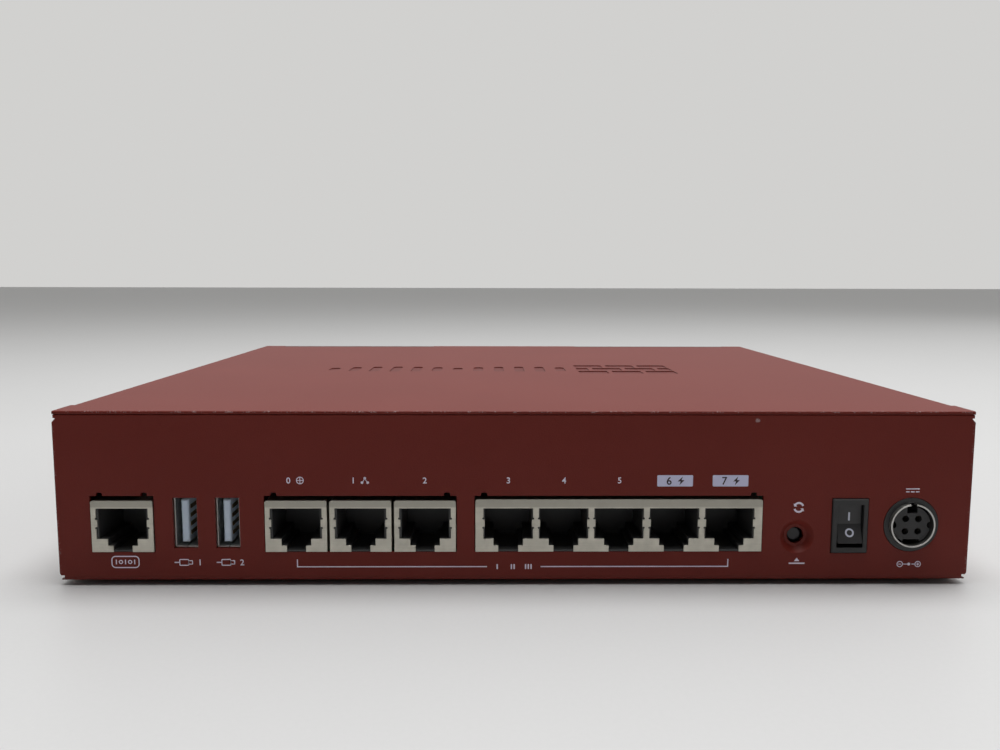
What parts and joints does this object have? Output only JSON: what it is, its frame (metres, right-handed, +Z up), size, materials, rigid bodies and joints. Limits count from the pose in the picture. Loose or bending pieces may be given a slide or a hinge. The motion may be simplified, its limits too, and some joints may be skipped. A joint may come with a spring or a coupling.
{
  "type": "desktop firewall appliance",
  "caption": "Low steel desktop network appliance with a row of data sockets, USB sockets, a rocker switch, a recessed reset button and a round power socket.",
  "frame": {"origin": "middle of the case's footprint, on the surface its feet stand on", "axes": "+Z up; +Y from the sockets towards the front bezel; +X to the right when the sockets are looked at"},
  "size_m": [0.2306, 0.2064, 0.0447],
  "materials": {
    "red_powder_coat": "fine powder coat, matte",
    "bezel_plastic": "fine spark texture, matte",
    "light_guide_plastic": "clear acrylic, frosted ends",
    "lamp_resin": "pale resin",
    "foot_rubber": "soft matte",
    "plated_steel": "zinc plated",
    "shield_steel": "tin plated, satin",
    "black_moulding": "satin moulding",
    "gold_contact": "gold flashed",
    "usb_moulding": "pale moulding",
    "board_laminate": "solder mask",
    "chip_resin": "moulded epoxy",
    "sink_aluminium": "black anodised",
    "bright_aluminium": "plain",
    "pad_silicone": "soft pad",
    "film": "insulating film",
    "ferrite": "pressed ferrite"
  },
  "bodies": {
    "case": {"base_tray": "red_powder_coat", "board_screws": "plated_steel", "card_socket": "black_moulding", "cell_holder": "black_moulding", "coin_cell": "bright_aluminium", "console_jack_contacts": "gold_contact", "console_jack_housing": "black_moulding", "console_jack_shield": "shield_steel", "control_chips": "chip_resin", "cover_screws": "plated_steel", "front_bezel": "bezel_plastic", "gang_jack_contacts": "gold_contact", "gang_jack_housing": "black_moulding", "gang_jack_shield": "shield_steel", "heat_sink": "sink_aluminium", "insulating_film": "film", "lan_0_jack_contacts": "gold_contact", "lan_0_jack_housing": "black_moulding", "lan_0_jack_shield": "shield_steel", "lan_1_jack_contacts": "gold_contact", "lan_1_jack_housing": "black_moulding", "lan_1_jack_shield": "shield_steel", "lan_2_jack_contacts": "gold_contact", "lan_2_jack_housing": "black_moulding", "lan_2_jack_shield": "shield_steel", "lan_transformers": "chip_resin", "light_guide": "light_guide_plastic", "main_board": "board_laminate", "memory_chips": "chip_resin", "power_capacitors": "bright_aluminium", "power_inductors": "ferrite", "power_socket_body": "black_moulding", "power_socket_contacts": "gold_contact", "power_socket_insert": "black_moulding", "power_socket_ring": "shield_steel", "power_transformer": "ferrite", "processor": "bright_aluminium", "push_pin_springs": "plated_steel", "push_pins": "black_moulding", "reset_dome": "plated_steel", "reset_switch": "black_moulding", "rubber_feet": "foot_rubber", "standoffs": "plated_steel", "status_lights": "lamp_resin", "storage_card": "board_laminate", "switch_chip": "chip_resin", "switch_chip_sink": "sink_aluminium", "switch_frame": "black_moulding", "switch_terminals": "gold_contact", "thermal_pad": "pad_silicone", "top_cover": "red_powder_coat", "usb_1_contacts": "gold_contact", "usb_1_shell": "shield_steel", "usb_1_tongue": "usb_moulding", "usb_2_contacts": "gold_contact", "usb_2_shell": "shield_steel", "usb_2_tongue": "usb_moulding"},
    "rocker": {"power_rocker": "black_moulding"},
    "reset": {"reset_button": "black_moulding"}
  },
  "joints": [
    {"name": "rocker_tilt", "type": "hinge", "parent": "case", "child": "rocker", "pos_m": [0.0846, -0.09885, 0.0154], "axis": [1, 0, 0], "range_deg": [0, 18]},
    {"name": "reset_press", "type": "slide", "parent": "case", "child": "reset", "axis": [0, 1, 0], "range_m": [0, 0.0005], "stiffness_N_per_m": 1500, "springref_m": -0.0005}
  ]
}
